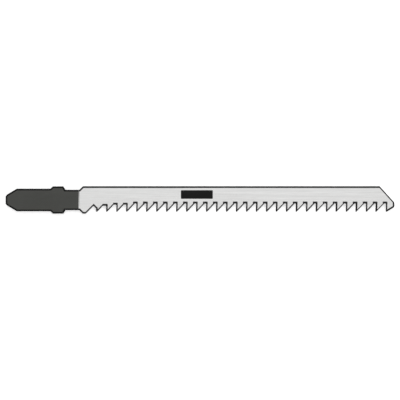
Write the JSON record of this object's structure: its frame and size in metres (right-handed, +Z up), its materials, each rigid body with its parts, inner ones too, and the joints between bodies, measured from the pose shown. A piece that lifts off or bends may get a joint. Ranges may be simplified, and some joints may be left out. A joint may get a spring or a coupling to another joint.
{
  "type": "jigsaw blade",
  "caption": "T-shank jigsaw blade with a dark unground shank, a bright taper-ground body and ground, bevelled teeth, for clean cuts in wood.",
  "frame": {"origin": "on the underside of the shank, in the middle of the two lugs", "axes": "+X along the blade from the shank to the tip, +Y across it from the teeth to the back edge, +Z up through its thickness"},
  "size_m": [0.1169, 0.0082, 0.0015],
  "materials": {
    "steel": "bright ground body and teeth, dark satin oxide on the shank"
  },
  "bodies": {
    "root": {"blade": "steel"}
  },
  "joints": []
}
